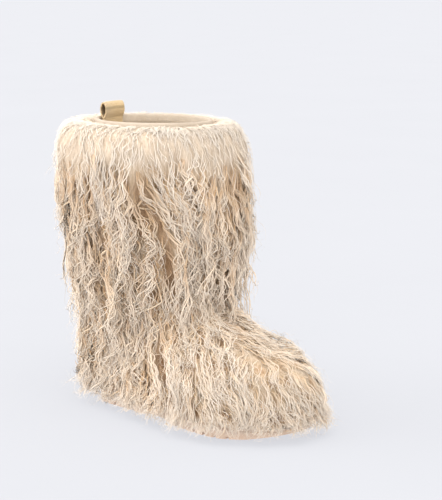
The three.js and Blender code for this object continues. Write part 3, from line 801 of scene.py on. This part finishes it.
def make_guides(skin, centres, areas):
    """Locks spread over the skin, longer on the shaft and calmer by the collar and on the toe.

    Each value is an array with a row for each lock.
    """
    picked = scatter(centres, areas, LOCK_SPACING, LOCK_TRIES)
    roots = [(Vector(centres[face]), 0) for face in picked]
    roots += [(root, 0) for root in rim_roots()]
    roots += [(root, 1) for root in hem_roots(centres, areas)]
    hide = tree_of("upper")
    rows = []
    for root, hem in roots:
        top = float(smoothstep(*CROWN_Z, root.z))
        foot = float(smoothstep(*VAMP_X, root.x) * (1 - smoothstep(*SHIN_Z, root.z)))
        back = float(1 - smoothstep(*HEEL_X, root.x))
        usual = TUFT_LENGTH_MM if hem else LOCK_LENGTH_MM - CROWN_SHORTER_MM * top - FOOT_SHORTER_MM * foot
        long = usual * rng.uniform(0.72, 1.25) * MM
        lowest = rng.uniform(1.5, 7 if hem else 15) * MM
        points, normals, across, length = march(skin, root, long, lowest)
        rows.append({
            "points": points, "normals": normals, "across": across, "length": length,
            "top": top, "foot": foot, "hem": hem,
            "calm": max(0.3 * top, 0.35 * foot),
            # Each lock gets its own brightness at random; it is lighter towards the collar and over the foot,
            # painted light where the hair faces up.
            "tone_and_light": 0.42 + 0.38 * top + 0.3 * foot + rng.normal(0, 0.16),
            "room": min(hide.find_nearest(root)[3] / DEEP_FLEECE, 1),
            "fine": 1 - 0.3 * foot,
            "spread": 1 + 0.8 * back * hem,
        })
    guides = {name: np.array([row[name] for row in rows]) for name in rows[0]}
    count = len(roots)
    guides["phase"] = rng.uniform(0, 2 * math.pi, (count, 4))
    guides["swing"] = rng.uniform(0.3, 1.5, (count, 4))
    guides["stretch"] = rng.uniform(0.85, 1.25, count)
    guides["raise"] = rng.uniform(-8, -1, count) * guides["room"] * (1 - 0.7 * guides["foot"])
    guides["girth"] = rng.uniform(0.6, 1.25, count)
    guides["twist"] = rng.uniform(1.2, 3.2, count) * np.where(rng.random(count) < 0.5, -1, 1)
    return guides


def hair_pieces(skin, guides, layer, owner, pieces, material):
    """The strands of one layer, dealt out to a few pieces by their locks."""
    strands = grow(guides, LAYERS[layer], owner, skin)
    group = np.arange(len(owner)) * pieces // len(owner)
    for piece in range(pieces):
        mine = {name: values[group == piece] for name, values in strands.items()}
        obj = tube_mesh(f"fleece_{layer}_{piece + 1}", mine)
        obj.data.materials.append(material)
        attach(obj, "root")


def make_undercoat(mesh, points, outward_vertices, normals):
    """Closed soft wool in the space of the fleece solid, set back under the locks."""
    shade_and_tone = np.ones(len(points))
    moved = points.copy()
    hide = tree_of("upper")
    for i in range(len(points)):
        if not outward_vertices[i]:
            continue
        place = Vector(points[i])
        stretched = Vector((place.x * 75, place.y * 75, place.z * 16))
        ridge = noise.noise(stretched) + 0.5 * noise.noise(stretched * 2.3)
        room = float(1 - smoothstep(*SHAFT_TOP_Z, place.z))
        toe = float(smoothstep(*TOE_X, place.x))
        low = float(1 - smoothstep(*FLOOR_Z, place.z))
        hide_place, _, _, away = hide.find_nearest(place)
        deep = min(away / DEEP_FLEECE, 1)
        back = (WOOL_BACK_MM + (DEEP_WOOL_BACK_MM + HEM_WOOL_BACK_MM * low) * room * deep) * MM
        inset = back - (RIDGE_MM + DEEP_RIDGE_MM * room * deep) * MM * ridge
        moved[i] = points[i] - normals[i] * inset
        # The locks' tips are drawn in and up from the floor, where the fringe hangs.
        pull = 0.3 * low
        if away > HEM_DEPTH:
            pull += float(1 - smoothstep(*FRINGE_Z, place.z)) * (1 - HEM_DEPTH / away)
        moved[i][:2] += pull * (np.array(hide_place) - points[i])[:2]
        moved[i][2] += 0.55 * max(HEM_HEIGHT - place.z, 0)
        # Painted shade: darker in the hollows between ridges and near the floor. Lighter towards the collar
        # and over the toe, partly paler wool and partly painted light.
        shade_and_tone[i] = 0.46 + 0.5 * ridge * room + 0.6 * (1 - room) + 0.25 * toe - 0.5 * low
    mesh.vertices.foreach_set("co", moved.astype(np.float32).ravel())
    layer = mesh.attributes.new("shade_and_tone", "FLOAT", "POINT")
    layer.data.foreach_set("value", np.clip(shade_and_tone, 0, 1).astype(np.float32))
    mesh.polygons.foreach_set("use_smooth", np.ones(len(mesh.polygons), bool))
    mesh.update()
    obj = bpy.data.objects.new("fleece_undercoat", mesh)
    bpy.context.scene.collection.objects.link(obj)
    obj.data.materials.clear()
    obj.data.materials.append(undercoat_material())
    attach(obj, "root")
    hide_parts("fur")


def make_fleece():
    """The undercoat, and the layers of hair from the deepest to the loosest."""
    mesh = remeshed_fleece()
    points, faces = mesh_arrays(mesh)
    outward, centres, face_normals = outward_faces(points, faces)
    skin_faces = [face for face, out in zip(faces, outward) if out]
    outward_vertices = np.zeros(len(points), bool)
    for face in skin_faces:
        outward_vertices[list(face)] = True
    # The wool comes up against the rolled edge.
    points[:, 2] += COLLAR_WOOL * smoothstep(*COLLAR_Z, points[:, 2]) * outward_vertices
    skin = BVHTree.FromPolygons([Vector(p) for p in points], skin_faces)
    vertex_normals = np.empty(len(points) * 3)
    mesh.vertices.foreach_get("normal", vertex_normals)
    areas = np.array([p.area for p in mesh.polygons])
    rooted = outward & (face_normals[:, 2] > -0.5) & (centres[:, 2] > HEM_HEIGHT)
    guides = make_guides(skin, centres[rooted], areas[rooted])
    make_undercoat(mesh, points, outward_vertices, vertex_normals.reshape(-1, 3))
    deep, rope, pale = (hair_material(name) for name in SHADES)
    field = guides["hem"] == 0
    high = np.flatnonzero(field & (guides["top"] > 0.25))
    low = np.flatnonzero(field & (guides["top"] < 0.98))
    toe = np.flatnonzero(field & (guides["foot"] > 0.4))
    hem = np.flatnonzero(guides["hem"] == 1)
    below_collar = field & (guides["points"][:, 0, 2] > CROWN_LOCKS_FROM) & (guides["top"] < 0.98)
    # The locks are twice as dense below the collar.
    crown = np.flatnonzero(below_collar)
    locks = np.repeat(np.concatenate([low, crown]), STRANDS_PER_LOCK)
    hair_pieces(skin, guides, "under", np.resize(low, UNDER_STRANDS), 2, deep)
    hair_pieces(skin, guides, "lock", locks, 3, rope)
    hair_pieces(skin, guides, "loose", rng.choice(low, LOOSE_STRANDS), 1, rope)
    hair_pieces(skin, guides, "toe", np.resize(toe, TOE_STRANDS), 1, pale)
    hair_pieces(skin, guides, "fringe", np.repeat(hem, STRANDS_PER_TUFT), 1, rope)
    hair_pieces(skin, guides, "brushed", np.resize(high, BRUSHED_STRANDS), 1, pale)
    hair_pieces(skin, guides, "wisps", rng.choice(np.concatenate([low, hem]), WISPS), 1, pale)


# Trim

def rim_curve(count):
    """The middle of the collar's edge as an even closed curve, from the binding's crown."""
    points, _ = mesh_arrays(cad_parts["collar_binding"].data)
    crown = points[points[:, 2] > points[:, 2].max() - 0.4 * MM]
    crown = np.unique(crown.round(6), axis=0)
    middle = crown.mean(0)
    order = np.argsort(np.arctan2(crown[:, 1] - middle[1], crown[:, 0] - middle[0]))
    crown = crown[order]
    total = len(crown)
    curve = []
    for i in range(count):
        at = i * total / count
        k = int(at)
        t = at - k
        a, b, c, d = (crown[(k + j - 1) % total] for j in range(4))
        curve.append(0.5 * (2 * b + (c - a) * t + (2 * a - 5 * b + 4 * c - d) * t * t
                            + (3 * b - a - 3 * c + d) * t ** 3))
    return np.array(curve)


def make_rolled_edge():
    """Soft rolled strip over the collar's edge, with a slight pucker."""
    count = 200
    curve = rim_curve(count)
    tangents = np.roll(curve, -1, 0) - np.roll(curve, 1, 0)
    out = np.cross(tangents, (0, 0, 1))
    out /= np.linalg.norm(out, axis=1, keepdims=True)
    if (out * (curve - curve.mean(0))).sum() < 0:
        out = -out
    # Across and up in millimetres: up the inside, over the roll, down the outside and back along the hide.
    half, thickness = 2.15, 0.5
    inner_foot, outer_foot, ceiling = -10.2, -8.2, -3.6
    roll_foot, roll_middle, roll_height, roll_steps = -2.6, -2.2, 2.6, 8
    profile = [(-half, inner_foot), (-half * 1.06, -6), (-half, roll_foot)]
    for k in range(1, roll_steps):
        turn = math.pi * (1 - k / roll_steps)
        profile.append((half * math.cos(turn), roll_middle + roll_height * math.sin(turn)))
    profile += [
        (half, roll_foot), (half * 1.1, -5), (half, outer_foot), (half - thickness, outer_foot),
        (half - thickness, ceiling), (-half + thickness, ceiling), (-half + thickness, inner_foot),
    ]
    points = []
    for i in range(count):
        pucker = 0.12 * math.sin(i * 0.9) + 0.25 * noise.noise(Vector((i * 0.12, 3, 0)))
        wave = 0.35 * math.sin(i * 2 * math.pi / count * 3 + 1)
        for across, up in profile:
            lift = wave if up > -4 else 0
            place = curve[i] + out[i] * (across + pucker * 0.6) * MM
            points.append(place + np.array((0, 0, (up + lift) * MM)))
    size = len(profile)
    faces = []
    for i in range(count):
        for k in range(size):
            after = (i + 1) % count
            more = (k + 1) % size
            faces.append((i * size + k, after * size + k, after * size + more, i * size + more))
    obj = mesh_object("rolled_edge", points, faces)
    obj.data.materials.append(spotted_material(
        "rolled_cream_strip", srgb(176, 163, 148), srgb(193, 182, 168), 900, 0.35, 0.8))
    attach(obj, "root")
    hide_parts("collar_binding")


def dress(node, material, bevel_mm=0.0):
    """A solid keeps its shape and gets a material, and soft edges where it has a bevel."""
    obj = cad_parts[node]
    obj.data.materials.clear()
    obj.data.materials.append(material)
    for slot in obj.material_slots:
        slot.material = material
    if bevel_mm:
        bevel = obj.modifiers.new("soft_edges", "BEVEL")
        bevel.width = bevel_mm * MM
        bevel.segments = 2
        bevel.limit_method = "ANGLE"
        bevel.angle_limit = math.radians(35)
        bevel.harden_normals = False


def make_trim():
    make_rolled_edge()
    pile = spotted_material("hide_and_pile", srgb(244, 230, 207), srgb(253, 247, 236), 700, 1.2, 0.85, 0.1)
    dress("upper", pile)
    felt = spotted_material("insole_pile", srgb(212, 192, 160), srgb(236, 222, 196), 800, 1.0, 0.9, 0.4)
    dress("insole", felt)
    rubber = spotted_material("sole_rubber", srgb(206, 178, 156), srgb(222, 198, 178), 500, 0.12, 0.62)
    dress("outsole", rubber, 0.5)
    dress("pull_loop", twill_material(), 0.25)


# Studio

def make_floor():
    """A wide pale floor that shines faintly, as lit paper does, so that it has no end in the picture."""
    half = 60.0
    points = [(-half, -half, 0), (half, -half, 0), (half, half, 0), (-half, half, 0)]
    obj = mesh_object("studio_floor", points, [(0, 1, 2, 3)])
    material, tree, shader = new_material("studio_paper")
    grain = noise_node(tree, 3, 2)
    shade = ramp(tree, [(0.3, srgb(99, 100, 102)), (0.7, srgb(101, 102, 104))])
    wire(tree, (grain, "Fac", shade, "Fac"), (shade, "Color", shader, "Base Color"))
    set_inputs(shader, {
        "Roughness": 0.9,
        "Specular IOR Level": 0.0,
        "Emission Color": srgb(228, 230, 237),
        "Emission Strength": 0.775,
    })
    obj.data.materials.append(material)


def sun(name, along, softness, strength, color):
    """A lamp from the table of suns."""
    right, away, up = along
    direction = CAMERA_RIGHT * right + CAMERA_AWAY * away + Vector((0, 0, up))
    data = bpy.data.lights.new(name, "SUN")
    data.angle = math.radians(softness)
    data.energy = strength
    data.color = color
    obj = bpy.data.objects.new(name, data)
    obj.rotation_euler = direction.to_track_quat("-Z", "Y").to_euler()
    bpy.context.scene.collection.objects.link(obj)


def make_light():
    """A warm pale sky and the suns."""
    world = bpy.data.worlds.new("studio")
    world.use_nodes = True
    sky = world.node_tree.nodes["Background"]
    set_inputs(sky, {"Color": srgb(245, 240, 234), "Strength": 1.42})
    bpy.context.scene.world = world
    for name, row in SUNS.items():
        sun(name, **row)


def make_camera():
    """The camera that was fitted to the photograph."""
    data = bpy.data.cameras.new("photo_view")
    data.sensor_fit = "AUTO"
    data.sensor_width = SENSOR_MM
    data.lens = FOCAL_PIXELS * SENSOR_MM / max(IMAGE_WIDTH, IMAGE_HEIGHT)
    data.clip_end = 50
    obj = bpy.data.objects.new("photo_view", data)
    back = Vector((0, 0, math.sin(CAMERA_PITCH))) - CAMERA_AWAY * math.cos(CAMERA_PITCH)
    target = CAMERA_RIGHT * TARGET_RIGHT + Vector((0, 0, TARGET_HEIGHT))
    obj.location = target + back * CAMERA_DISTANCE
    obj.rotation_euler = (-back).to_track_quat("-Z", "Y").to_euler()
    bpy.context.scene.collection.objects.link(obj)
    bpy.context.scene.camera = obj


make_camera()
make_fleece()
make_trim()
make_floor()
make_light()
bpy.context.scene.view_settings.view_transform = "Standard"
